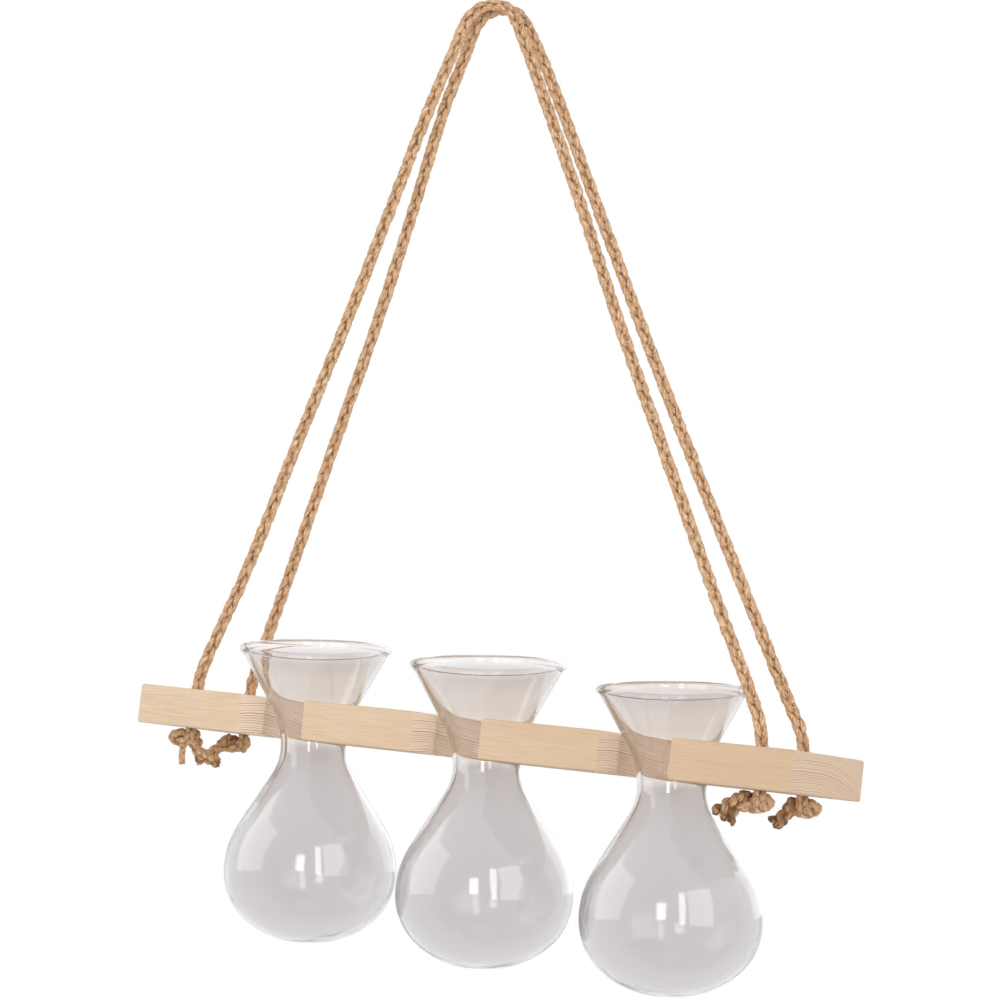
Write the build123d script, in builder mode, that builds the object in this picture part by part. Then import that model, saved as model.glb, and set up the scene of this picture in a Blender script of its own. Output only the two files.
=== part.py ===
from build123d import *
from math import atan2, acos, cos, degrees, hypot, pi, radians, sin, sqrt, tan
import os

os.makedirs("parts", exist_ok=True)

# Hanging propagation vase: a wooden board on two ropes, with three glass vases in keyhole seats.
# Millimetres and degrees. The origin is the top of the hook that carries the ropes, +Z is up,
# +X runs along the board and -Y is the open side of its seats.

# The glass vases, outside sizes, with heights above the foot
glass_wall = 2
vase_height = 144.5
foot_flat_diameter = 6
bulb_diameter = 84
bulb_height = 34
side_slope = 48  # degrees of turn in the bulb's side below its widest part: its bottom takes the rest
neck_diameter = 32
neck_share = 0.552  # of the height above the widest part of the bulb
shoulder_share = 0.73  # of the height from there to the neck, as a radius
lower_neck_share = 0.41
upper_neck_share = 0.86  # of the height from the neck to the lip, as a radius
rim_diameter = 75
lip_diameter = 3.4
funnel_trims = (0, 0, 4.5)  # blown by hand: how much shorter each funnel is, along its wall, from the left

# The board, measured square to its own faces
bulb_spacing = 15
end_reach = 79  # from the middle of an outer seat to the end of the board
board_depth = 76
board_thickness = 19
board_corner_radius = 1.5
board_edge_radius = 1
hang_drop = 349.5  # from the top of the hook down to the middle of the board's top face
hang_shift = 4  # from under the hook along to there
hang_tilt = 6.3  # the ropes have slipped along the hook, so the right end hangs low

# The keyhole seats
neck_clearance = 5
seat_shelf = 4
seat_forward = 4  # the seats lie this far in front of the board's middle
horn_radius = 1.3
seat_gap = 0.55  # square to the glass on a level board: the lean takes 0.25 of it

# The ropes and their holes
rope_diameter = 6
rope_hole_clearance = 1
hole_end_inset = 22
hole_face_inset = 15
hook_diameter = 26
rope_pair_gap = 3
hole_exit_rise = 4
hole_exit_radius = 12

# The knots under the board, where the rope is squeezed thin
knot_rope_diameter = 3.6
knot_ring_radius = 4.75
knot_wrap_radius = 2.25
knot_board_gap = 0.4
knot_steps = 24
knot_start_turn = 0.3
knot_end_turn = 0.5
knot_entry_run = 4.5
knot_arc_share = 0.45  # of the shorter of an arc's two runs
knot_checks = 240

cut_overrun = 5  # how far a cut runs past what it cuts

# The board's own frame carries its seats, holes, ropes and knots
channel_width = neck_diameter + neck_clearance
seat_radius = channel_width / 2 + seat_shelf
seat_pitch = bulb_diameter + bulb_spacing
board_length = 2 * (seat_pitch + end_reach)
lean = radians(hang_tilt)
board_middle = (hang_shift, 0, -hang_drop)
board_top = Plane(origin=board_middle, x_dir=(cos(lean), 0, -sin(lean)), z_dir=(sin(lean), 0, cos(lean)))
board_up = Axis(board_top.origin, board_top.z_dir)
seat_places = (-seat_pitch, 0, seat_pitch)
hole_x = board_length / 2 - hole_end_inset
hole_y = board_depth / 2 - hole_face_inset


def on_board(x, y, height=0):
    """A point in the board's frame, with its height above the top face."""
    return board_top.from_local_coords(Vector(x, y, height))


# The board: keyhole seats and rope holes through a plank with eased edges
channel_length = board_depth / 2 + cut_overrun
with BuildPart() as holder_bar:
    with BuildSketch(board_top) as board_outline:
        Rectangle(board_length, board_depth)
        with Locations(*[(x, -seat_forward) for x in seat_places]):
            Circle(seat_radius, mode=Mode.SUBTRACT)
        with Locations(*[(x, -channel_length / 2) for x in seat_places]):
            Rectangle(channel_width, channel_length, mode=Mode.SUBTRACT)
        horns = [v for v in board_outline.vertices() if 0 < abs(v.Y) < seat_radius]
        corners = [v for v in board_outline.vertices() if abs(v.Y) > seat_radius]
        fillet(horns, radius=horn_radius)
        fillet(corners, radius=board_corner_radius)
    extrude(amount=-board_thickness)
    rims = holder_bar.faces().sort_by(board_up)
    fillet(rims[0].edges() + rims[-1].edges(), radius=board_edge_radius)
    with BuildSketch(board_top):
        with GridLocations(2 * hole_x, 2 * hole_y, 2, 2):
            Circle((rope_diameter + rope_hole_clearance) / 2)
    extrude(amount=board_thickness + cut_overrun, both=True, mode=Mode.SUBTRACT)
holder_bar.part.label = "holder_bar"
export_step(holder_bar.part, "parts/holder_bar.step")

# The vase's outline: its arcs run into each other and into the straight glass without a corner
foot_reach = foot_flat_diameter / 2
bulb_reach = bulb_diameter / 2
neck_reach = neck_diameter / 2
lip_reach = (rim_diameter - lip_diameter) / 2
lip_height = vase_height - lip_diameter / 2
neck_height = bulb_height + neck_share * (vase_height - bulb_height)

# the bulb's side arc carries on from the bottom arc up to the widest part
side_turn = radians(side_slope)
bottom_run = bulb_reach - foot_reach
arc_split = sin(side_turn) + cos(side_turn) - 1
bottom_radius = (bottom_run * sin(side_turn) - bulb_height * (1 - cos(side_turn))) / arc_split
side_radius = (bulb_height * cos(side_turn) - bottom_run * (1 - sin(side_turn))) / arc_split

# a straight shoulder lies along the bulb's upper arc and the arc below the neck
shoulder_rise = neck_height - bulb_height
shoulder_radius = shoulder_share * shoulder_rise
lower_neck_radius = lower_neck_share * shoulder_rise
arcs_apart = shoulder_radius + lower_neck_radius - (bulb_reach - neck_reach)
arcs_reach = hypot(shoulder_rise, arcs_apart)
shoulder_turn = atan2(shoulder_rise, arcs_apart) - acos((shoulder_radius + lower_neck_radius) / arcs_reach)
shoulder_run = sqrt(arcs_reach**2 - (shoulder_radius + lower_neck_radius) ** 2)

# the funnel's straight wall lies along the arc above the neck and ends in the rolled lip
funnel_rise = lip_height - neck_height
upper_neck_radius = upper_neck_share * funnel_rise
lip_apart = upper_neck_radius - (lip_reach - neck_reach)
lip_away = hypot(funnel_rise, lip_apart)
wall_middle_radius = upper_neck_radius + glass_wall / 2
funnel_turn = atan2(funnel_rise, lip_apart) - acos(wall_middle_radius / lip_away)
funnel_run = sqrt(lip_away**2 - wall_middle_radius**2)


def glass_line(inset, trim):
    """One side of the glass up to its trimmed lip, this far inside the outer surface."""
    foot = Line((0, inset), (foot_reach, inset))
    bottom = JernArc(foot @ 1, foot % 1, bottom_radius - inset, 90 - degrees(side_turn))
    side = JernArc(bottom @ 1, bottom % 1, side_radius - inset, degrees(side_turn))
    shoulder = JernArc(side @ 1, side % 1, shoulder_radius - inset, degrees(shoulder_turn))
    slant = Line(shoulder @ 1, shoulder @ 1 + (shoulder % 1) * shoulder_run)
    lower_neck = JernArc(slant @ 1, slant % 1, lower_neck_radius + inset, -degrees(shoulder_turn))
    upper_neck = JernArc(lower_neck @ 1, lower_neck % 1, upper_neck_radius + inset, -degrees(funnel_turn))
    funnel = Line(upper_neck @ 1, upper_neck @ 1 + (upper_neck % 1) * (funnel_run - trim))
    return funnel @ 1


def funnel_height(reach):
    """The height at which the outside of the funnel is this far from the axis."""
    arc_reach = neck_reach + upper_neck_radius * (1 - cos(funnel_turn))
    if reach < arc_reach:
        return neck_height + sqrt(upper_neck_radius**2 - (neck_reach + upper_neck_radius - reach) ** 2)
    return neck_height + upper_neck_radius * sin(funnel_turn) + (reach - arc_reach) / tan(funnel_turn)


# Each vase hangs plumb in its leaning seat, so it settles towards the low end of the board
eased_edge = board_edge_radius * (cos(funnel_turn) + sin(funnel_turn) - 1)
seat_height = funnel_height(seat_radius) + (eased_edge - seat_gap) / sin(funnel_turn)
seat_shift = seat_radius * sin(lean) * tan(funnel_turn)
for side_name, seat_x, trim in zip(("left", "middle", "right"), seat_places, funnel_trims):
    seat = on_board(seat_x, -seat_forward)
    foot_point = Vector(seat.X + seat_shift, seat.Y, seat.Z - seat_height)
    lip_point = (lip_reach - trim * sin(funnel_turn), lip_height - trim * cos(funnel_turn))
    with BuildPart() as vase:
        with BuildSketch(Plane(origin=foot_point, x_dir=(1, 0, 0), z_dir=(0, -1, 0))):
            with BuildLine():
                outer_end = glass_line(0, trim)
                inner_end = glass_line(glass_wall, trim)
                Line(outer_end, inner_end)
                Line((0, 0), (0, glass_wall))
            make_face()
            with Locations(lip_point):
                Circle(lip_diameter / 2)
        revolve(axis=Axis(foot_point, (0, 0, 1)))
    vase.part.label = f"vase_{side_name}"
    export_step(vase.part, f"parts/vase_{side_name}.step")
    print(vase.part.label, "foot", foot_point, "volume", round(vase.part.volume))

# Each rope comes up out of its two holes and runs straight to the hook, where it lies in an arc
hook_arc_radius = (hook_diameter + rope_diameter) / 2
pair_reach = (rope_diameter + rope_pair_gap) / 2
hook_reach = pair_reach + hook_arc_radius * (hole_y - pair_reach) / hang_drop
for face_name, face in (("front", -1), ("back", 1)):
    start, end = (on_board(x, face * hole_y, -board_thickness) for x in (-hole_x, hole_x))
    left_exit, right_exit = (on_board(x, face * hole_y, hole_exit_rise) for x in (-hole_x, hole_x))
    hook_center = Vector(0, face * hook_reach, -hook_diameter / 2)
    rope_normal = (left_exit - hook_center).cross(right_exit - hook_center).normalized()
    rope_plane = Plane(origin=hook_center, x_dir=board_top.x_dir, z_dir=rope_normal)
    left_leg, right_leg = (rope_plane.to_local_coords(point) for point in (left_exit, right_exit))
    left_angle = atan2(left_leg.Y, left_leg.X) - acos(hook_arc_radius / left_leg.length)
    right_angle = atan2(right_leg.Y, right_leg.X) + acos(hook_arc_radius / right_leg.length)
    left_angle = left_angle + 2 * pi if left_angle < 0 else left_angle
    over_hook = [
        rope_plane.from_local_coords((hook_arc_radius * cos(angle), hook_arc_radius * sin(angle)))
        for angle in (left_angle, (left_angle + right_angle) / 2, right_angle)
    ]
    with BuildPart() as rope:
        with BuildLine() as route:
            FilletPolyline(start, left_exit, over_hook[0], radius=hole_exit_radius)
            ThreePointArc(*over_hook)
            FilletPolyline(over_hook[2], right_exit, end, radius=hole_exit_radius)
        with BuildSketch(Plane(origin=start, z_dir=board_top.z_dir)):
            Circle(rope_diameter / 2)
        sweep()
    rope.part.label = f"rope_{face_name}"
    export_step(rope.part, f"parts/rope_{face_name}.step")
    rope_length = route.wires()[0].length
    section = pi * rope_diameter**2 / 4
    print(rope.part.label, "length", round(rope_length, 1), "radii", hole_exit_radius, hook_arc_radius)
    print("  top points", over_hook, "volume share", round(rope.part.volume / section / rope_length, 4))


def knot_point(turn):
    """A point of the knot's middle line, which winds three times round a ring in two laps."""
    reach = knot_ring_radius + knot_wrap_radius * cos(3 * turn)
    return Vector(reach * cos(2 * turn), reach * sin(2 * turn), -knot_wrap_radius * sin(3 * turn))


def bend_radii(points):
    """The radius of each corner's arc, as large as its two runs allow."""
    radii = []
    for before, corner, after in zip(points, points[1:], points[2:]):
        half_turn = radians((corner - before).get_angle(after - corner)) / 2
        shorter_run = min((corner - before).length, (after - corner).length)
        radii.append(knot_arc_share * shorter_run / tan(half_turn))
    return radii


# Each knot: the entry from the hole, the winding, which may be mirrored, and a tail that sags away
knot_top = knot_wrap_radius + knot_rope_diameter / 2
knot_drop = knot_top + knot_board_gap
last_turn = 2 * pi - knot_end_turn
turns = [knot_start_turn + (last_turn - knot_start_turn) * step / knot_steps for step in range(knot_steps + 1)]
winding = [knot_point(turn) for turn in turns]
entry_way = (winding[1] - winding[0]).normalized()
entry_corner = winding[0] - entry_way * knot_entry_run
entry_top = Vector(entry_corner.X, entry_corner.Y, knot_drop)
knots = (
    ("front_left", -hole_x, -hole_y, -1, -26, [(3.8, -1.4, -0.8), (5.6, -0.6, -5.8), (5.2, 0.5, -11.8)]),
    ("back_left", -hole_x, hole_y, 1, -46, [(1.2, -3.8, -1.2), (-3.5, -5.5, -5.5), (-8.5, -6, -11)]),
    ("front_right", hole_x, -hole_y, 1, -70, [(0.5, -4, -1.2), (-4.5, -6.5, -5), (-10, -8, -11)]),
    ("back_right", hole_x, hole_y, 1, -83, [(0, -4.2, -0.8), (-3.5, -5.5, -4), (-3.5, -7, -9), (0, -7.5, -14.5)]),
)
for place_name, x, y, hand, knot_turn, tail in knots:
    route = [point - entry_top for point in [entry_top, entry_corner] + winding[1:]]
    route = [Vector(point.X, hand * point.Y, point.Z).rotate(Axis.Z, knot_turn) for point in route]
    route += [route[-1] + Vector(*point) for point in tail]
    under_hole = Plane(origin=on_board(x, y, -board_thickness), x_dir=board_top.x_dir, z_dir=board_top.z_dir)
    points = [under_hole.from_local_coords(point) for point in route]
    with BuildPart() as knot:
        with BuildLine() as knot_route:
            FilletPolyline(*points, radius=bend_radii(points))
        with BuildSketch(Plane(origin=points[0], z_dir=points[1] - points[0])):
            Circle(knot_rope_diameter / 2)
        sweep()
    knot.part.label = f"knot_{place_name}"
    export_step(knot.part, f"parts/knot_{place_name}.step")
    line = knot_route.wires()[0]
    places = [line.position_at(check / knot_checks) for check in range(knot_checks + 1)]
    near_run = pi * knot_rope_diameter / 2
    skip = round(near_run / line.length * knot_checks)
    least = min((b - a).length for i, a in enumerate(places) for b in places[i + skip:])
    section = pi * knot_rope_diameter**2 / 4
    print(knot.part.label, "length", round(line.length, 1), "least gap", round(least - knot_rope_diameter, 2))
    print("  radii", [round(radius, 1) for radius in bend_radii(points)])
    print("  volume share", round(knot.part.volume / section / line.length, 4))
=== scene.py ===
import bpy
from math import acos, atan2, cos, degrees, hypot, pi, radians, sin, sqrt, tanh
from mathutils import Matrix, Vector, noise
from random import Random


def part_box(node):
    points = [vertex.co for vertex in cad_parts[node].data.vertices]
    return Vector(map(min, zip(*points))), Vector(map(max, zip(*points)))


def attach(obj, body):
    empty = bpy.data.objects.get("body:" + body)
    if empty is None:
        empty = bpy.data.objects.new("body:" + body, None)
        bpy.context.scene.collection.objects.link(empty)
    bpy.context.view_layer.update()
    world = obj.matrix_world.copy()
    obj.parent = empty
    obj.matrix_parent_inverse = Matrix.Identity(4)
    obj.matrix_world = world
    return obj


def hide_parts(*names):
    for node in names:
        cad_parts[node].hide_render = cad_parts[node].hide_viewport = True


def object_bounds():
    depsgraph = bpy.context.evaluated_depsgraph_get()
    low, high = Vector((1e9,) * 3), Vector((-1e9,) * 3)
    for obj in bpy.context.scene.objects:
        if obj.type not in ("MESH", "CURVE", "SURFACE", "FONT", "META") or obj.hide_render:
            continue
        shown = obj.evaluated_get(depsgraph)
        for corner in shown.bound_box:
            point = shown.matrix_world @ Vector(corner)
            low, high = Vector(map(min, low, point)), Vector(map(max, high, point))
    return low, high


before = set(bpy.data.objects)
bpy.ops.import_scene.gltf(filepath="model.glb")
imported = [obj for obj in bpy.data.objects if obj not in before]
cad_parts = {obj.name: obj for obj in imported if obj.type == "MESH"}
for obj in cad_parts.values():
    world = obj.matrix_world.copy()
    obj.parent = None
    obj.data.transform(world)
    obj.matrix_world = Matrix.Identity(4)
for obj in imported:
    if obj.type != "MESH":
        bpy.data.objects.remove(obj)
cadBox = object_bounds()
print("frame loaded, CAD box", cadBox)
mm = 0.001  # the frame is in metres, and most values below are in millimetres

# The camera stands right of the middle and below the board, and is rolled slightly
camera = {
    "azimuth": 30, "elevation": -8.4, "roll": 1.0,  # degrees
    "distance": 1.478, "target": (0.008, 0, -0.2434),  # metres
    "lens": 110.6, "sensor": 36,
}


def placeCamera():
    az, el, roll = (radians(camera[key]) for key in ("azimuth", "elevation", "roll"))
    right = Vector((cos(az), sin(az), 0))
    back = Vector((sin(az) * cos(el), -cos(az) * cos(el), sin(el)))
    up = back.cross(right)
    rolledRight = right * cos(roll) + up * sin(roll)
    rolledUp = up * cos(roll) - right * sin(roll)
    data = bpy.data.cameras.new("photoCamera")
    data.lens = camera["lens"]
    data.sensor_width = camera["sensor"]
    obj = bpy.data.objects.new("photoCamera", data)
    place = Matrix.Translation(Vector(camera["target"]) + back * camera["distance"])
    obj.matrix_world = place @ Matrix((rolledRight, rolledUp, back)).transposed().to_4x4()
    bpy.context.collection.objects.link(obj)
    bpy.context.scene.camera = obj


placeCamera()
print("camera placed")


class Shade:
    # a socket of a node tree: sums, products and powers of it add Math nodes
    def __init__(self, tree, socket=None):
        self.tree, self.socket = tree, socket

    def node(self, kind, inputs={}, output=0, stops=None, **settings):
        made = self.tree.nodes.new("ShaderNode" + kind)
        for name, value in settings.items():
            setattr(made, name, value)
        if stops:
            ramp = made.color_ramp
            while len(ramp.elements) < len(stops):
                ramp.elements.new(0.5)
            for element, (place, colour) in zip(ramp.elements, stops):
                element.position, element.color = place, colour
        for name, value in inputs.items():
            if isinstance(value, Shade):
                self.tree.links.new(value.socket, made.inputs[name])
            else:
                made.inputs[name].default_value = value
        return Shade(self.tree, made.outputs[output])

    def math(self, operation, first, second=0.0):
        return self.node("Math", {0: first, 1: second}, operation=operation)

    def __add__(self, other): return self.math("ADD", self, other)
    def __radd__(self, other): return self.math("ADD", other, self)
    def __sub__(self, other): return self.math("SUBTRACT", self, other)
    def __rsub__(self, other): return self.math("SUBTRACT", other, self)
    def __mul__(self, other): return self.math("MULTIPLY", self, other)
    def __rmul__(self, other): return self.math("MULTIPLY", other, self)
    def __truediv__(self, other): return self.math("DIVIDE", self, other)
    def __pow__(self, other): return self.math("POWER", self, other)

    def limited(self):
        return self.math("MINIMUM", self.math("MAXIMUM", self, 0.0), 1.0)

    def parts(self):
        split = self.node("SeparateXYZ", {"Vector": self})
        return [Shade(self.tree, out) for out in split.socket.node.outputs]

    def mix(self, other, amount):
        # 6, 7 and 2 are the Mix node's colour sockets, which share their names with others
        return self.node("Mix", {0: amount, 6: self, 7: other}, output=2, data_type="RGBA")

    def noise(self, x, y, z, detail=2.0, roughness=0.5):
        place = self.node("CombineXYZ", {"X": x, "Y": y, "Z": z})
        return self.node(
            "TexNoise", {"Vector": place, "Scale": 1.0, "Detail": detail, "Roughness": roughness})

    def feed(self, socket):
        self.tree.links.new(self.socket, socket)


def raysOf(shade, *kinds):
    # 1 for rays of any of these kinds, and 0 for all others
    path = shade.node("LightPath").socket.node.outputs
    found, *others = (Shade(shade.tree, path[f"Is {kind} Ray"]) for kind in kinds)
    for other in others:
        found = shade.math("MAXIMUM", found, other)
    return found


def tone(red, green, blue):
    # a colour as a screen shows it, 0 to 255, in the linear values that a shader takes
    return (*(((v / 255 + 0.055) / 1.055) ** 2.4 if v > 10 else v / 3294 for v in (red, green, blue)), 1)


def newMaterial(name, settings):
    material = bpy.data.materials.new(name)
    material.use_nodes = True
    shader = material.node_tree.nodes["Principled BSDF"]
    for socket, value in settings.items():
        shader.inputs[socket].default_value = value
    return material, Shade(material.node_tree), shader


# The board, in millimetres and degrees: it hangs with its right end low
board = {
    "length": 356, "thickness": 19, "holeX": 156, "holeY": 23, "drop": 349.5, "shift": 4, "lean": 6.3,
    "roughness": 0.62, "shine": 0.3,
    # the middle of the log, the width of its rings and how much they stray
    "pithY": -18, "pithZ": -190, "ringPitch": 0.95, "ringSway": 4.0, "ringWobble": 0.45,
    "ringDrift": 3.0, "driftRate": 0.22,
    # the dark line of a ring: its start as a share of the ring, both slopes, and its chance of depth
    "lineFrom": 0.66, "lineRise": 4.0, "lineFall": 12.0,
    "depthPower": 1.3, "depthRange": 0.8, "depthLeast": 0.4, "ringsApart": 7.3,
    # how fast each grain changes along and across the board, with its detail and roughness
    "grains": {
        "sway": (0.006, 0.02, 2.0, 0.5), "wobble": (0.02, 0.16, 2.0, 0.5), "fibre": (0.06, 2.6, 4.0, 0.65),
        "blotch": (0.02, 0.12, 2.0, 0.5), "streak": (0.05, 1.1, 2.0, 0.5), "pore": (0.3, 3.4, 3.0, 0.7),
    },
    # the long faces: their colours, and what each grain adds to the shade
    "longGrain": tone(236, 213, 186), "longShade": tone(205, 176, 142), "streak": tone(222, 178, 112),
    "longLines": 0.26, "longFibres": 1.9, "longBlotches": 0.5, "longBase": 0.12,
    "streakFrom": 0.62, "streakEdge": 7.0, "streakShare": 0.55,
    # the end faces, which are those that look along the board; painted light makes their colours paler, to
    # make up for the little light that reaches the walls of the seats
    "litEndGrain": tone(255, 235, 214), "ringLine": tone(122, 62, 32), "endShade": tone(238, 208, 180),
    "endRings": 0.3, "endPores": 1.1, "endBase": -0.42, "endFrom": 0.3, "endEdge": 3.0,
    # painted shade: the board is a little darker towards its right end, where less light falls
    "aged": tone(190, 156, 124), "agedShare": 0.55,
    "fibreRelief": 0.5, "lineRelief": 0.7, "poreRelief": 0.3, "bumpStrength": 0.3, "bumpHeight": 0.0003,
}
lean = radians(board["lean"])


def onBoard(x, y, z=0):
    # millimetres along, across and above the board's top face, to a point of the frame
    alongX = x * cos(lean) + z * sin(lean) + board["shift"]
    return Vector((alongX, y, z * cos(lean) - x * sin(lean) - board["drop"])) * mm


def paintWood():
    b = board
    material, shade, shader = newMaterial(
        "paleSoftwood", {"Roughness": b["roughness"], "Specular IOR Level": b["shine"]})
    x, y, z = (part * 1000 for part in shade.node("TexCoord", output="Object").parts())
    run, drop = x - b["shift"], z + b["drop"]
    along, height = run * cos(lean) - drop * sin(lean), run * sin(lean) + drop * cos(lean)

    def grain(name):
        alongRate, acrossRate, detail, roughness = b["grains"][name]
        return shade.noise(along * alongRate, y * acrossRate, height * acrossRate, detail, roughness)

    # the rings lie round the middle of the log, and a dark line ends each one
    fromPithY, fromPithZ = y - b["pithY"], height - b["pithZ"]
    stray = (grain("sway") - 0.5) * b["ringSway"] + (grain("wobble") - 0.5) * b["ringWobble"]
    reach = (fromPithY * fromPithY + fromPithZ * fromPithZ) ** 0.5 + stray
    ring = (reach + shade.noise(reach * b["driftRate"], 3.0, 0.0) * b["ringDrift"]) / b["ringPitch"]
    whole = shade.math("FLOOR", ring)
    phase = ring - whole
    ringPlace = shade.node("CombineXYZ", {"X": whole * b["ringsApart"]})
    chance = shade.node("TexWhiteNoise", {"Vector": ringPlace})
    depth = chance ** b["depthPower"] * b["depthRange"] + b["depthLeast"]
    rise, fall = (phase - b["lineFrom"]) * b["lineRise"], (1 - phase) * b["lineFall"]
    line = rise.limited() * fall.limited() * depth

    fibre, pore = grain("fibre"), grain("pore")
    streak = ((grain("streak") - b["streakFrom"]) * b["streakEdge"]).limited()
    longShade = line * b["longLines"] + (fibre - 0.5) * b["longFibres"]
    longShade = longShade + grain("blotch") * b["longBlotches"] + b["longBase"]
    longFace = shade.node("RGB")
    longFace.socket.default_value = b["longGrain"]
    longFace = longFace.mix(b["longShade"], longShade.limited())
    longFace = longFace.mix(b["streak"], streak * b["streakShare"])

    # painted light: the end grain is paler than the long faces, to lift the shaded walls of the seats
    endFace = shade.node("RGB")
    endFace.socket.default_value = b["litEndGrain"]
    endShade = phase * b["endRings"] + pore * b["endPores"] + b["endBase"]
    endFace = endFace.mix(b["endShade"], endShade.limited()).mix(b["ringLine"], line)
    normal = shade.node("NewGeometry", output="Normal").parts()
    endWay = shade.math("ABSOLUTE", normal[0] * cos(lean) - normal[2] * sin(lean))
    endMask = ((endWay - b["endFrom"]) * b["endEdge"]).limited()

    # painted shade: the colour darkens towards the right end of the board, as the light falls off
    rightward = (along / b["length"] + 0.5).limited()
    surface = longFace.mix(endFace, endMask).mix(b["aged"], rightward * b["agedShare"])
    surface.feed(shader.inputs["Base Color"])
    relief = fibre * b["fibreRelief"] - line * endMask * b["lineRelief"] + pore * endMask * b["poreRelief"]
    bump = {"Strength": b["bumpStrength"], "Distance": b["bumpHeight"], "Height": relief}
    shade.node("Bump", bump).feed(shader.inputs["Normal"])
    return material


# Jute: pale straw yarns, with painted shade that makes them darker and browner in the creases between the
# strands
jute = {
    "roughness": 0.9, "shine": 0.15,
    "creaseShadowBrown": tone(94, 54, 26), "dark": tone(154, 106, 66), "middle": tone(202, 156, 114),
    "light": tone(226, 190, 152), "pale": tone(250, 234, 210),
    "tonePlaces": ((0.3, "dark"), (0.44, "middle"), (0.56, "light"), (0.76, "pale")),
    # how fast the fine and the broad fibres change along and round a strand, and what each adds
    "fineRate": (0.9, 6.0), "broadRate": (0.3, 1.3), "fineShare": 0.9, "broadShare": 0.7, "base": 0.3,
    "bumpStrength": 0.7, "bumpHeight": 0.0003,
}


def paintJute():
    material, shade, shader = newMaterial(
        "juteFibre", {"Roughness": jute["roughness"], "Specular IOR Level": jute["shine"]})
    u, v, _ = shade.node("UVMap", uv_map="lay").parts()
    hollow = shade.node("Attribute", output="Fac", attribute_name="hollow")
    fine = shade.noise(u * jute["fineRate"][0], v * jute["fineRate"][1], 0.0, 4.0, 0.7)
    broad = shade.noise(u * jute["broadRate"][0], v * jute["broadRate"][1], 4.0)
    place = fine * jute["fineShare"] + broad * jute["broadShare"] - jute["base"]
    stops = [(share, jute[name]) for share, name in jute["tonePlaces"]]
    colour = shade.node("ValToRGB", {"Fac": place}, stops=stops)
    # painted shade: the creases turn a deep brown
    colour.mix(jute["creaseShadowBrown"], hollow).feed(shader.inputs["Base Color"])
    bump = {"Strength": jute["bumpStrength"], "Distance": jute["bumpHeight"], "Height": fine}
    shade.node("Bump", bump).feed(shader.inputs["Normal"])
    return material


# The vases, in millimetres, as in the solid: arcs from the foot to the rolled lip
glass = {
    "wall": 2, "height": 144.5, "foot": 6, "bulb": 84, "bulbHeight": 34, "sideSlope": 48,
    "neck": 32, "neckShare": 0.552, "shoulderShare": 0.73, "lowerNeckShare": 0.41, "upperNeckShare": 0.86,
    "rim": 75, "lip": 3.4, "trims": {"left": 0, "middle": 0, "right": 4.5},
    # the mesh: points round a ring, degrees and millimetres between rings, and steps round the lip
    "ringSteps": 144, "arcStep": 2.5, "lineStep": 3, "lipSteps": 18,
    # the inner face is a little uneven, as blown glass is, apart from the middle of its foot
    "uneven": 0.03, "unevenRate": (0.02, 1.3, 0.035), "unevenFrom": 6,
    # tints, and the shares of the height where they lie
    "bulbTint": (0.76, 0.74, 0.748, 1), "shoulderTint": (0.73, 0.7, 0.69, 1),
    "neckTint": (0.935, 0.89, 0.845, 1), "funnelTint": (0.83, 0.78, 0.74, 1),
    "mouthTint": (0.75, 0.71, 0.69, 1), "lipTint": (0.93, 0.91, 0.91, 1),
    "tintPlaces": (
        (0.5, "bulbTint"), (0.65, "shoulderTint"), (0.69, "neckTint"), (0.77, "neckTint"),
        (0.83, "funnelTint"), (0.88, "funnelTint"), (0.955, "mouthTint"), (0.98, "lipTint")),
    # painted reflection: edgeSheen is the pale grey that the glass takes where it is seen edge-on
    "tintStray": 0.03, "cloudRate": (22, 9), "edgeSheen": (0.89, 0.88, 0.875, 1), "edgeSheenBlend": 0.4,
    # faint waves and softer reflections, which both fade out below the neck
    "ripple": 0.001, "rippleStrength": 0.5, "rippleRate": (34, 16), "rippleTo": 0.62, "rippleFade": 4.0,
    "polish": 0.004, "softness": 0.07, "softTo": 0.66, "softFade": 12.0,
    # how clear it is, how it bends light, and the share of the light that it lets through to what is behind
    "clearness": 0.985, "bending": 1.45, "letThrough": 0.85,
}


def paintGlass():
    g = glass
    material, shade, shader = newMaterial(
        "blownGlass", {"Transmission Weight": g["clearness"], "IOR": g["bending"]})
    rise = shade.node("Attribute", output="Fac", attribute_name="rise")
    x, y, z = shade.node("TexCoord", output="Object").parts()
    across, up = g["cloudRate"]
    cloud = shade.noise(x * across, y * across, z * up)
    stops = [(share, g[name]) for share, name in g["tintPlaces"]]
    body = shade.node("ValToRGB", {"Fac": rise + (cloud - 0.5) * g["tintStray"]}, stops=stops)
    # painted reflection: where the glass is seen edge-on, its tint turns to a pale grey, as a band of
    # reflected light along the outline
    edge = shade.node("LayerWeight", {"Blend": g["edgeSheenBlend"]}, output="Facing")
    body.mix(g["edgeSheen"], edge).feed(shader.inputs["Base Color"])
    across, up = g["rippleRate"]
    ripple = shade.noise(x * across, y * across, z * up, 3.0, 0.45)
    ripple = ripple * ((g["rippleTo"] - rise) * g["rippleFade"]).limited()
    bump = {"Strength": g["rippleStrength"], "Distance": g["ripple"], "Height": ripple}
    shade.node("Bump", bump).feed(shader.inputs["Normal"])
    soft = ((g["softTo"] - rise) * g["softFade"]).limited()
    (soft * g["softness"] + g["polish"]).feed(shader.inputs["Roughness"])
    (1 - raysOf(shade, "Shadow", "Diffuse") * g["letThrough"]).feed(shader.inputs["Alpha"])
    return material


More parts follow.
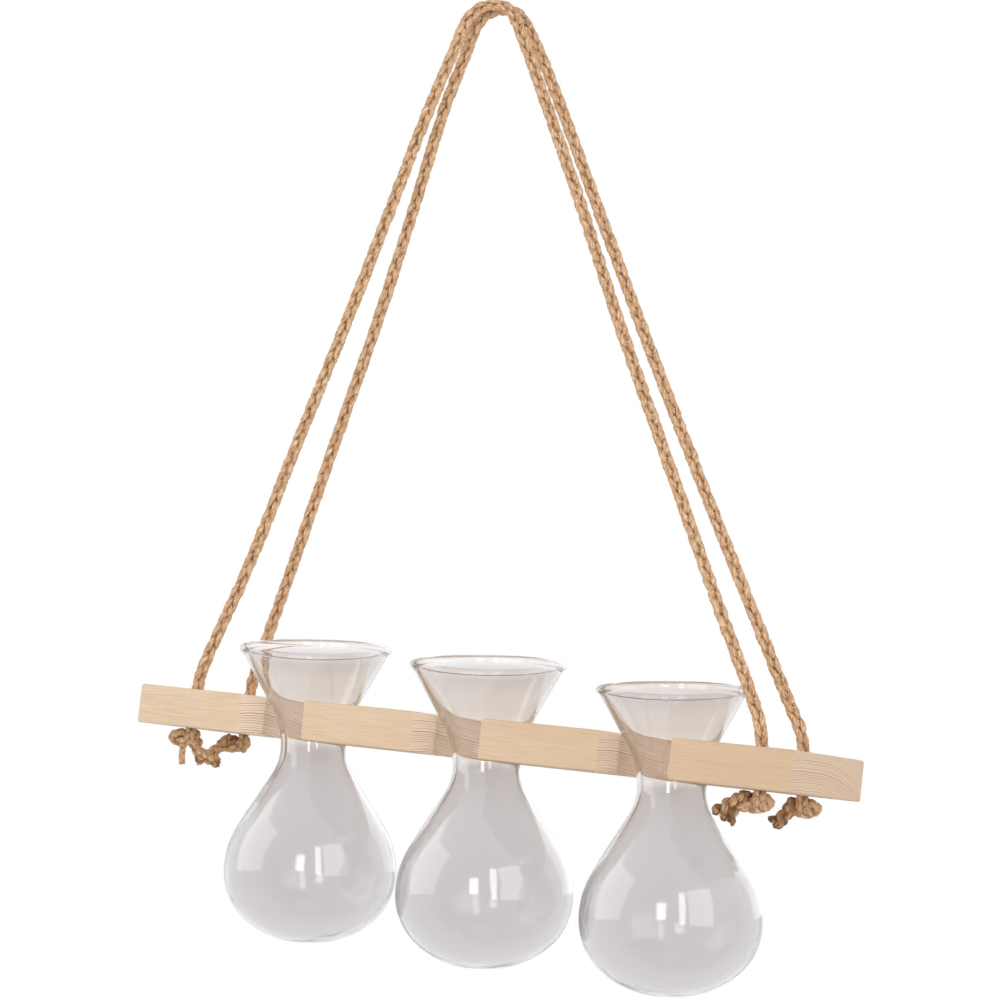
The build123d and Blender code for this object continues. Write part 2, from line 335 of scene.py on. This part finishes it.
def glassArcs(trim):
    # the outer face as arcs and straight runs that meet without a corner, and the middle of the lip
    g = glass
    footReach, bulbReach, neckReach = g["foot"] / 2, g["bulb"] / 2, g["neck"] / 2
    lipReach, lipHeight = (g["rim"] - g["lip"]) / 2, g["height"] - g["lip"] / 2
    neckHeight = g["bulbHeight"] + g["neckShare"] * (g["height"] - g["bulbHeight"])
    sideTurn, run = radians(g["sideSlope"]), bulbReach - footReach
    split = sin(sideTurn) + cos(sideTurn) - 1
    bottom = (run * sin(sideTurn) - g["bulbHeight"] * (1 - cos(sideTurn))) / split
    side = (g["bulbHeight"] * cos(sideTurn) - run * (1 - sin(sideTurn))) / split
    up = neckHeight - g["bulbHeight"]
    shoulder, lowerNeck = g["shoulderShare"] * up, g["lowerNeckShare"] * up
    apart = shoulder + lowerNeck - (bulbReach - neckReach)
    shoulderTurn = atan2(up, apart) - acos((shoulder + lowerNeck) / hypot(up, apart))
    slant = sqrt(up ** 2 + apart ** 2 - (shoulder + lowerNeck) ** 2)
    rise = lipHeight - neckHeight
    upperNeck = g["upperNeckShare"] * rise
    apart = upperNeck - (lipReach - neckReach)
    middle = upperNeck + g["wall"] / 2
    funnelTurn = atan2(rise, apart) - acos(middle / hypot(rise, apart))
    funnel = sqrt(rise ** 2 + apart ** 2 - middle ** 2) - trim
    arcs = (
        ("line", footReach), ("arc", bottom, pi / 2 - sideTurn), ("arc", side, sideTurn),
        ("arc", shoulder, shoulderTurn), ("line", slant), ("arc", lowerNeck, -shoulderTurn),
        ("arc", upperNeck, -funnelTurn), ("line", funnel))
    return arcs, Vector((lipReach - trim * sin(funnelTurn), lipHeight - trim * cos(funnelTurn)))


def glassSide(arcs, inset):
    # one face of the wall as points (reach, height), from the axis at the foot up to the lip
    place, way, points = Vector((0, inset)), 0.0, [Vector((0, inset))]
    for arc in arcs:
        if arc[0] == "line":
            steps = max(2, round(arc[1] / glass["lineStep"]))
            start = place.copy()
            place = start + Vector((cos(way), sin(way))) * arc[1]
            points += [start.lerp(place, (step + 1) / steps) for step in range(steps)]
            continue
        radius = arc[1] - inset if arc[2] > 0 else -(arc[1] + inset)
        centre = place + Vector((-sin(way), cos(way))) * radius
        steps = max(3, round(degrees(abs(arc[2])) / glass["arcStep"]))
        for step in range(1, steps + 1):
            turned = way + arc[2] * step / steps
            points.append(centre + Vector((sin(turned), -cos(turned))) * radius)
        place, way = points[-1], way + arc[2]
    return points


def glassProfile(trim):
    # foot to lip and back down inside, with the number of the point where the inner face begins
    arcs, lip = glassArcs(trim)
    bead = glass["lip"] / 2
    outer, inner = (
        [p for p in glassSide(arcs, inset) if (p - lip).length > bead] for inset in (0, glass["wall"]))
    leave, arrive = (atan2(*reversed(side[-1] - lip)) for side in (outer, inner))
    arrive = arrive + 2 * pi if arrive < leave else arrive
    steps = glass["lipSteps"]
    turns = [leave + (arrive - leave) * step / steps for step in range(1, steps)]
    rolled = [lip + Vector((cos(turn), sin(turn))) * bead for turn in turns]
    return outer + rolled + inner[::-1], len(outer) + len(rolled)


def makeMesh(name, verts, faces, material, smooth=True):
    mesh = bpy.data.meshes.new(name)
    mesh.from_pydata(verts, [], faces)
    mesh.polygons.foreach_set("use_smooth", [smooth] * len(faces))
    mesh.materials.append(material)
    obj = bpy.data.objects.new(name, mesh)
    bpy.context.collection.objects.link(obj)
    return obj


def giveValue(obj, name, values):
    attribute = obj.data.attributes.new(name, "FLOAT", "POINT")
    attribute.data.foreach_set("value", values)


def makeVase(side, material):
    # the solid's box gives the axis and the foot
    low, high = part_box(f"vase_{side}")
    axis = Vector(((low[0] + high[0]) / 2, (low[1] + high[1]) / 2, low[2])) / mm
    profile, innerFrom = glassProfile(glass["trims"][side])
    steps, count = glass["ringSteps"], len(profile)
    sideRate, aroundRate, upRate = glass["unevenRate"]
    verts, faces, rise = [], [], []
    for i, point in enumerate(profile):
        for step in range(1 if i in (0, count - 1) else steps):
            turn = 2 * pi * step / steps
            around = Vector((cos(turn), sin(turn), 0))
            dent = 0
            if i > innerFrom and point.x > glass["unevenFrom"]:
                place = axis * sideRate + around * aroundRate + Vector((0, 0, point.y * upRate))
                dent = abs(glass["uneven"] * noise.noise(place))
            verts.append((axis + around * (point.x - dent) + Vector((0, 0, point.y))) * mm)
            rise.append(point.y / glass["height"])
    for i in range(count - 1):
        first = 1 + (i - 1) * steps
        for step in range(steps):
            after = (step + 1) % steps
            if i == 0:
                faces.append((0, 1 + after, 1 + step))
            elif i == count - 2:
                faces.append((first + step, first + after, len(verts) - 1))
            else:
                faces.append((first + step, first + after, first + steps + after, first + steps + step))
    vase = makeMesh(f"vaseGlass_{side}", verts, faces, material)
    giveValue(vase, "rise", rise)
    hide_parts(f"vase_{side}")
    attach(vase, f"{side}_vase")


wood, juteFibre, blownGlass = paintWood(), paintJute(), paintGlass()
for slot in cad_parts["holder_bar"].material_slots:
    slot.material = wood
for side in ("left", "middle", "right"):
    makeVase(side, blownGlass)
print("board and glass done")

# The ropes in millimetres: their route over the hook smooths the solid's and follows the real bends
rope = {
    "diameter": 6, "hookRadius": 13, "pairReach": 4.5, "exitRise": 4, "step": 0.65,
    # each leg's bends: share of the way down, and millimetres to the right
    "bends": {
        ("front", -1): (
            (0.06, 0), (0.14, -1.1), (0.3, 0.6), (0.47, 2.3), (0.65, 1.8), (0.82, 3.6), (0.94, 0.8)),
        ("front", 1): (
            (0.06, 0.9), (0.14, 0.9), (0.3, 0.9), (0.47, -1.1), (0.65, -0.3), (0.82, -0.5), (0.94, 0.7)),
        ("back", -1): (
            (0.06, -0.3), (0.14, -2.6), (0.3, 0.5), (0.47, 1.8), (0.65, 0.6), (0.82, 0.8), (0.94, 0)),
        ("back", 1): (
            (0.06, 2.2), (0.14, 2.3), (0.3, 0.4), (0.47, -1.2), (0.65, -1.7), (0.82, -1.3), (0.94, -1.2)),
    },
}
# Three strands pass over each other along a line, each a bundle of twisted yarns
plait = {
    "lead": 23, "sides": 20, "across": 1.26, "through": 0.76, "hold": 1.9, "strand": 1.62,
    "yarns": 6, "yarnDepth": 0.07, "yarnTwist": 0.32, "wrap": 9.0, "wrapSlant": 1.4, "strandsApart": 37,
    "faceWay": (0.5, -0.86, 0.1),
    # what strays along the way: how fast, how much, and where in the noise it and each strand start
    "stray": {
        "slip": (0.045, 0.5, 4.4, 0), "wander": (0.07, 0.3, 0, 9.1), "turn": (0.02, 26, 8.8, 0),
        "swell": (0.16, 0.16, 2, 5.3),
    },
    "wanderThrough": 0.4, "roughRate": (0.5, 1.7), "roughDepth": 0.09, "roughApart": 4,
    # painted shade in the creases: from this share of the radius inwards, and between the yarns
    "creaseFrom": 0.76, "creaseEdge": 3.0, "yarnEdge": 0.3, "yarnCrease": 0.26, "creaseMost": 0.8,
}
# Loose hairs and the yarns of a cut end, as thin threads with three sides that taper
hair = {
    "sides": 3, "radius": 0.05, "taper": 0.7, "layStep": (3.7, 0.4, 0.61), "points": 7,
    "ropeCount": 560, "ropeLongest": 8, "ropeSeed": 20, "knotCount": 90, "knotLongest": 3.2,
    "root": 0.4, "length": (0.25, 1.0), "lift": (0.15, 0.8), "curl": 0.7, "thick": (0.6, 1.3),
    "slowing": 0.3, "liftReach": 0.45, "curlReach": 0.5,
    "frayCount": 90, "frayRoot": 0.42, "frayInside": 1.2, "frayLength": 0.8, "frayShort": 0.4,
    "frayFlare": 0.5, "frayPlaces": (0, 0.3, 0.6, 0.8, 1), "frayThick": (2.5, 4.5),
}
# The knots: an overhand knot pulled tight, mirrored by its hand, with a tail in millimetres from its end
knot = {
    "ringRadius": 4.9, "wrapRadius": 2.4, "steps": 24, "startTurn": 0.3, "endTurn": 0.5,
    "entryRun": 3.2, "boardGap": 0.1, "step": 0.45, "lead": 13, "tailGrowth": 0.6, "growthRate": 3,
    # hand, turn in degrees, thickness of the plait, tail and how far its strands come apart
    "places": {
        "front_left": (-1, -26, 5.1, (
            (-2.6, -0.8, -5.2), (4.5, -1, -9.8), (10.6, -1, -12), (14.6, -0.5, -12.8)), 0.3),
        "back_left": (1, -46, 5.1, (
            (-0.4, -3, -4.7), (-3.5, -7, -8.2), (-7, -10, -11.7), (-8.7, -12, -12.6)), 0.2),
        "front_right": (1, -70, 6, ((-1.6, -4, -3.1), (-3.9, -6, -6), (-6.2, -7, -10.4)), 2.4),
        "back_right": (1, -83, 5.8, ((1.4, -3, -5.4), (-0.6, -5, -7.6), (-3.4, -6, -11.3)), 2.1),
    },
    # a strand that hangs out of the front left knot
    "loose": ((-4.6, -3.6, -3.5), (-4.4, -6, -9.5), (-3, -6.2, -15)),
    "looseSize": 3.6, "looseSpread": 0.8,
    # what each piece of a knot adds to its seed
    "seeds": {"hairs": 40, "fray": 60, "loose": 5, "looseFray": 80},
}


def smoothLine(name, points):
    # the smooth centreline that control points give, as Blender draws it
    data = bpy.data.curves.new(name, "CURVE")
    data.dimensions = "3D"
    spline = data.splines.new("NURBS")
    spline.points.add(len(points) - 1)
    for target, point in zip(spline.points, points):
        target.co = (*point, 1)
    spline.order_u = 3
    spline.use_endpoint_u = True
    spline.resolution_u = 24
    obj = bpy.data.objects.new(name, data)
    bpy.context.collection.objects.link(obj)
    bpy.context.view_layer.update()
    drawn = bpy.data.meshes.new_from_object(obj)
    line = [v.co.copy() for v in drawn.vertices]
    bpy.data.meshes.remove(drawn)
    bpy.data.objects.remove(obj)
    bpy.data.curves.remove(data)
    return line


def evenLine(line, step):
    # the same line with points evenly apart, by about one step
    lengths = [0.0]
    for a, b in zip(line, line[1:]):
        lengths.append(lengths[-1] + (b - a).length)
    count = max(8, round(lengths[-1] / step))
    even, at = [], 0
    for i in range(count + 1):
        want = lengths[-1] * i / count
        while at < len(lengths) - 2 and lengths[at + 1] < want:
            at += 1
        run = lengths[at + 1] - lengths[at]
        even.append(line[at].lerp(line[at + 1], (want - lengths[at]) / run if run else 0))
    return even


def wayAt(line, i):
    return (line[min(i + 1, len(line) - 1)] - line[max(i - 1, 0)]).normalized()


def carriedFrames(line, settled=False):
    # a width and a face direction at every point, carried along without twist, or kept to the front
    frames, face = [], Vector(plait["faceWay"])
    for i in range(len(line)):
        if settled:
            face = Vector(plait["faceWay"])
        way = wayAt(line, i)
        face = (face - way * face.dot(way)).normalized()
        frames.append((way.cross(face), face, way))
    return frames


def held(value):
    # a wave that stays near its sides and crosses the middle quickly
    return tanh(plait["hold"] * value) / tanh(plait["hold"])


def stray(kind, run, strand, seed):
    rate, amount, start, apart = plait["stray"][kind]
    return amount * noise.noise(Vector((run * rate, start + strand * apart, seed)))


def giveLay(obj, lay, sides):
    # where each point lies along and round its strand, joined up where the count of sides begins again
    uv = obj.data.uv_layers.new(name="lay")
    wrap, loops = plait["wrap"], obj.data.loops
    for polygon in obj.data.polygons:
        corners = [lay[loops[index].vertex_index] for index in polygon.loop_indices]
        seam = max(c[1] for c in corners) - min(c[1] for c in corners) > wrap / 2
        for index, (u, v) in zip(polygon.loop_indices, corners):
            atStart = loops[index].vertex_index % sides == 0
            uv.data[index].uv = (u, v + wrap if seam and atStart else v)


def strandCentres(line, frames, run, strand, scales, seed, lead):
    centres = []
    for i, (point, (width, face, _)) in enumerate(zip(line, frames)):
        turn = 2 * pi * (run[i] / lead + strand / 3) + stray("slip", run[i], 0, seed)
        wander = stray("wander", run[i], strand, seed)
        across = (plait["across"] * held(sin(turn)) + wander) * scales[i]
        through = (-plait["through"] * sin(2 * turn) + wander * plait["wanderThrough"]) * scales[i]
        facing = radians(stray("turn", run[i], 0, seed))
        across, through = (
            across * cos(facing) - through * sin(facing), across * sin(facing) + through * cos(facing))
        centres.append(point + (width * across + face * through) * mm)
    return centres


def plaitMesh(name, line, sizes, spreads, seed, lead, settled=False):
    p = plait
    frames = carriedFrames(line, settled)
    step = (line[1] - line[0]).length / mm
    sides, count = p["sides"], len(line)
    run = [i * step for i in range(count)]
    scales = [size / rope["diameter"] for size in sizes]
    wide = [scale * spread for scale, spread in zip(scales, spreads)]
    roughAlong, roughAround = p["roughRate"]
    verts, faces, lay, hollow = [], [], [], []
    for strand in range(3):
        base = len(verts)
        centres = strandCentres(line, frames, run, strand, wide, seed, lead)
        for i, (centre, (width, face, _)) in enumerate(zip(centres, carriedFrames(centres))):
            thick = p["strand"] * scales[i] * (1 + stray("swell", run[i], strand, seed))
            for side in range(sides):
                turn = 2 * pi * side / sides
                yarn = cos(p["yarns"] * (turn - p["yarnTwist"] * run[i]))
                aroundX, aroundY = cos(turn) * roughAround, sin(turn) * roughAround
                rough = noise.noise(Vector((
                    run[i] * roughAlong, aroundX, aroundY + strand * p["roughApart"] + seed)))
                reach = thick * (1 + p["yarnDepth"] * yarn + p["roughDepth"] * rough)
                vert = centre + (width * cos(turn) + face * sin(turn)) * reach * mm
                verts.append(vert)
                away = (vert - line[i]).length / (sizes[i] / 2 * mm) / spreads[i]
                # painted shade, deeper inside the plait and between the yarns
                crease = (p["creaseFrom"] - away) * p["creaseEdge"]
                crease += max(0, -yarn - p["yarnEdge"]) * p["yarnCrease"]
                hollow.append(min(max(crease, 0.0), p["creaseMost"]))
                slant = p["yarnTwist"] * run[i] * p["wrapSlant"]
                lay.append((run[i] + p["strandsApart"] * strand, side / sides * p["wrap"] + slant))
        for i in range(count - 1):
            for side in range(sides):
                after, a = (side + 1) % sides, base + i * sides
                faces.append((a + side, a + after, a + sides + after, a + sides + side))
        faces.append(tuple(base + side for side in reversed(range(sides))))
        faces.append(tuple(base + (count - 1) * sides + side for side in range(sides)))
    obj = makeMesh(name, verts, faces, juteFibre)
    giveLay(obj, lay, sides)
    giveValue(obj, "hollow", hollow)
    return obj


def threadMesh(name, threads):
    # each thread is a list of points and the radius at its root
    verts, faces, lay, sides = [], [], [], hair["sides"]
    apart, along, around = hair["layStep"]
    for number, (points, thick) in enumerate(threads):
        base = len(verts)
        for i, point in enumerate(points):
            way = wayAt(points, i)
            out = way.orthogonal().normalized()
            aside = way.cross(out)
            reach = thick * (1 - hair["taper"] * i / (len(points) - 1)) * mm
            for side in range(sides):
                turn = 2 * pi * side / sides
                verts.append(point + (out * cos(turn) + aside * sin(turn)) * reach)
                lay.append((number * apart + i * along, number * around))
        for i in range(len(points) - 1):
            for side in range(sides):
                a, after = base + i * sides, (side + 1) % sides
                faces.append((a + side, a + after, a + sides + after, a + sides + side))
    obj = makeMesh(name, verts, faces, juteFibre)
    giveLay(obj, lay, sides)
    giveValue(obj, "hollow", [0.0] * len(verts))
    return obj


def strayHairs(line, diameter, count, seed, longest):
    # hairs that lift off the plait, none of them out of the solid's box
    random, frames, threads = Random(seed), carriedFrames(line), []
    for _ in range(count):
        at = random.randrange(4, len(line) - 5)
        width, face, way = frames[at]
        turn = random.uniform(0, 2 * pi)
        out = width * cos(turn) + face * sin(turn)
        aside = out.cross(way)
        length = random.uniform(*hair["length"]) ** 2 * longest
        lift, curl = random.uniform(*hair["lift"]), random.uniform(-hair["curl"], hair["curl"])
        forward = way * random.choice((-1, 1))
        root, points = line[at] + out * diameter * hair["root"] * mm, []
        for step in range(hair["points"]):
            t = step / (hair["points"] - 1)
            bow = t * t * length
            point = forward * t * length * (1 - hair["slowing"] * t)
            point += (out * lift * hair["liftReach"] + aside * curl * hair["curlReach"]) * bow
            points.append(root + point * mm)
        thick = hair["radius"] * random.uniform(*hair["thick"])
        if all(low < v < high for point in points for low, v, high in zip(cadBox[0], point, cadBox[1])):
            threads.append((points, thick))
    return threads


def frayedEnd(line, diameter, spread, seed):
    # the cut end of a tail, where the yarns come apart
    random, threads, inside = Random(seed), [], hair["frayInside"]
    width, face, way = carriedFrames(line)[-1]
    for _ in range(hair["frayCount"]):
        turn = random.uniform(0, 2 * pi)
        reach = sqrt(random.random()) * diameter * hair["frayRoot"]
        out = width * cos(turn) * spread + face * sin(turn)
        length = random.uniform(hair["frayShort"], 1.0) * hair["frayLength"]
        flare = random.uniform(0.0, hair["frayFlare"])
        root = line[-1] + (out * reach - way * inside) * mm
        points = [
            root + (way * t * (length + inside) + out * flare * t * t * length) * mm
            for t in hair["frayPlaces"]]
        threads.append((points, hair["radius"] * random.uniform(*hair["frayThick"])))
    return threads


def knotPoint(turn):
    # the winding of an overhand knot: twice round the ring while it goes three times round the rope
    reach = knot["ringRadius"] + knot["wrapRadius"] * cos(3 * turn)
    return Vector((reach * cos(2 * turn), reach * sin(2 * turn), -knot["wrapRadius"] * sin(3 * turn)))


def knotRoute(place):
    # the entry under the hole, the winding of the knot, and its tail
    hand, turned, plump, tail, _ = knot["places"][place]
    first, last, steps = knot["startTurn"], 2 * pi - knot["endTurn"], knot["steps"]
    winding = [knotPoint(first + (last - first) * i / steps) for i in range(steps + 1)]
    corner = winding[0] - (winding[1] - winding[0]).normalized() * knot["entryRun"]
    top = Vector((corner.x, corner.y, knot["wrapRadius"] + plump / 2 + knot["boardGap"]))
    spin = Matrix.Rotation(radians(turned), 3, "Z")
    route = [point - top for point in [top, corner] + winding[1:]]
    route = [spin @ Vector((point.x, hand * point.y, point.z)) for point in route]
    route += [route[-1] + Vector(point) for point in tail]
    holeX = board["holeX"] * (1 if "right" in place else -1)
    holeY = board["holeY"] * (1 if "back" in place else -1)
    return [onBoard(*(point + Vector((holeX, holeY, -board["thickness"])))) for point in route]


def makeLooseStrand(last, seed):
    # a strand that comes out where the winding ends, with the threads of its cut end
    points = [last + onBoard(*point) - onBoard(0, 0) for point in ((0, 0, 0), *knot["loose"])]
    line = evenLine(smoothLine("looseStrand", points), knot["step"] * mm)
    size, seeds = knot["looseSize"], knot["seeds"]
    spreads = [knot["looseSpread"]] * len(line)
    strand = plaitMesh("looseStrand", line, [size] * len(line), spreads, seed + seeds["loose"], knot["lead"])
    return strand, frayedEnd(line, size, 1, seed + seeds["looseFray"])


def makeKnot(place, seed):
    route = knotRoute(place)
    plump, tail, flare = knot["places"][place][2:]
    line = evenLine(smoothLine(f"knotRoute_{place}", route), knot["step"] * mm)
    # the plait grows and its strands come apart along the tail
    windingEnd = route[-1 - len(tail)]
    tailFrom = min(range(len(line) // 2, len(line)), key=lambda i: (line[i] - windingEnd).length)
    along = [max(0, i - tailFrom) / (len(line) - 1 - tailFrom) for i in range(len(line))]
    sizes = [plump + knot["tailGrowth"] * min(1, knot["growthRate"] * share) for share in along]
    spreads = [1 + flare * share ** 2 for share in along]
    winding = plaitMesh(f"knotPlait_{place}", line, sizes, spreads, seed, knot["lead"])
    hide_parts(f"knot_{place}")
    seeds = knot["seeds"]
    threads = strayHairs(line, plump, hair["knotCount"], seed + seeds["hairs"], hair["knotLongest"])
    threads += frayedEnd(line, sizes[-1], spreads[-1], seed + seeds["fray"])
    pieces = [winding]
    if place == "front_left":
        strand, ends = makeLooseStrand(windingEnd, seed)
        pieces.append(strand)
        threads += ends
    pieces.append(threadMesh(f"knotFibres_{place}", threads))
    for piece in pieces:
        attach(piece, "hanger")
    return pieces


def ropeRoute(face):
    # up out of the left hole, over the hook and down to the right hole, with close points at each bend
    sign = -1 if face == "front" else 1
    y, reach = sign * board["holeY"], rope["hookRadius"] + rope["diameter"] / 2
    spread = (board["holeY"] - rope["pairReach"]) / board["drop"]
    hook = Vector((0, sign * (rope["pairReach"] + reach * spread), -rope["hookRadius"]))
    top = hook + Vector((0, -sign * reach * spread, reach))
    route = {}
    for side in (-1, 1):
        exit = onBoard(side * board["holeX"], y, rope["exitRise"]) / mm
        flat = Vector((exit.x - hook.x, exit.z - hook.z))
        turn = atan2(flat.y, flat.x) + side * acos(reach / flat.length)
        touch = Vector((hook.x + reach * cos(turn), hook.z + reach * sin(turn)))
        way = Vector((exit.x - touch.x, exit.z - touch.y)).normalized()
        back = (top.z - touch.y) / -way.y
        corner = Vector((touch.x - way.x * back, top.y, touch.y - way.y * back))
        bends = [
            corner + (exit - corner) * share + Vector((right, 0, 0))
            for share, right in rope["bends"][face, side]]
        end = onBoard(side * board["holeX"], y, -board["thickness"]) / mm
        route[side] = [point * mm for point in (corner, *bends, exit, end)]
    return route[-1][::-1] + route[1]


def makeRope(face, seed):
    line = evenLine(smoothLine(f"ropeRoute_{face}", ropeRoute(face)), rope["step"] * mm)
    sizes = [rope["diameter"]] * len(line)
    legs = plaitMesh(f"ropePlait_{face}", line, sizes, [1] * len(line), seed, plait["lead"], settled=True)
    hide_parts(f"rope_{face}")
    hairs = threadMesh(f"ropeFibres_{face}", strayHairs(
        line, rope["diameter"], hair["ropeCount"], seed + hair["ropeSeed"], hair["ropeLongest"]))
    for piece in (legs, hairs):
        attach(piece, "hanger")
    length = sum((b - a).length for a, b in zip(line, line[1:]))
    knots = []
    for place in (f"{face}_left", f"{face}_right"):
        knots += makeKnot(place, seed + len(knots) + 3)
    print("rope", face, "length", round(length / mm, 1))


makeRope("front", 1)
makeRope("back", 12)
print("ropes and knots done")

# White all round with a pale floor, large soft lamps on both sides of the camera and one behind
studio = {
    "floorHeight": -0.8, "floorSize": 6, "floorColour": (0.86, 0.86, 0.86, 1), "floorRoughness": 0.9,
    # the floor as the camera sees it: lifted near the object, and white from the second distance on
    "floorGlow": 0.6, "paleTo": 0.6, "whiteFrom": 2.6,
    "white": (1, 1, 1, 1), "worldLight": 0.41, "aim": (0, 0, -0.4),
    # place, width, height and watts
    "lamps": (
        ((0.66, -2.2, 0.0), 0.45, 0.8, 8),
        ((1.6, -1.75, 0.1), 0.35, 1.7, 11),
        ((2.3, -1.0, 0.1), 1.4, 2.1, 21),
        ((-2.0, -1.2, 0.6), 2.2, 2.2, 22),
        ((0.3, 2.5, 0.6), 2.4, 2.0, 15)),
}


def makeFloor():
    s = studio
    material, shade, shader = newMaterial(
        "paleFloor", {"Base Color": s["floorColour"], "Roughness": s["floorRoughness"]})
    white = shade.node("Emission", {"Color": s["white"], "Strength": 1.0})
    x, y, _ = shade.node("TexCoord", output="Object").parts()
    far = (((x * x + y * y) ** 0.5 - s["paleTo"]) / (s["whiteFrom"] - s["paleTo"])).limited()
    lift = raysOf(shade, "Camera") * (s["floorGlow"] + far * (1 - s["floorGlow"]))
    # the glass shows the white that the camera sees
    whiteness = shade.math("MAXIMUM", raysOf(shade, "Glossy", "Transmission"), lift)
    surface = shade.node("MixShader", {"Fac": whiteness, 1: Shade(shade.tree, shader.outputs[0]), 2: white})
    surface.feed(material.node_tree.nodes["Material Output"].inputs["Surface"])
    size, z = s["floorSize"], s["floorHeight"]
    corners = [(-size, -size, z), (size, -size, z), (size, size, z), (-size, size, z)]
    makeMesh("paleFloor", corners, [(0, 1, 2, 3)], material, smooth=False)


def makeWorld():
    world = bpy.data.worlds.new("softWhite")
    world.use_nodes = True
    bpy.context.scene.world = world
    background = world.node_tree.nodes["Background"]
    background.inputs["Color"].default_value = studio["white"]
    dim = studio["worldLight"]
    seen = raysOf(Shade(world.node_tree), "Camera", "Glossy", "Transmission")
    (dim + seen * (1 - dim)).feed(background.inputs["Strength"])


def makeLamps():
    for place, width, height, watts in studio["lamps"]:
        data = bpy.data.lights.new("softLamp", "AREA")
        data.shape, data.size, data.size_y, data.energy = "RECTANGLE", width, height, watts
        lamp = bpy.data.objects.new("softLamp", data)
        lamp.location = place
        lamp.rotation_euler = (Vector(studio["aim"]) - Vector(place)).to_track_quat("-Z", "Y").to_euler()
        # the lamp behind doesn't shine through the glass
        lamp.visible_transmission = place[1] < 0
        bpy.context.collection.objects.link(lamp)


makeFloor()
makeWorld()
makeLamps()
bpy.context.scene.view_settings.view_transform = "Standard"
print("scene done")
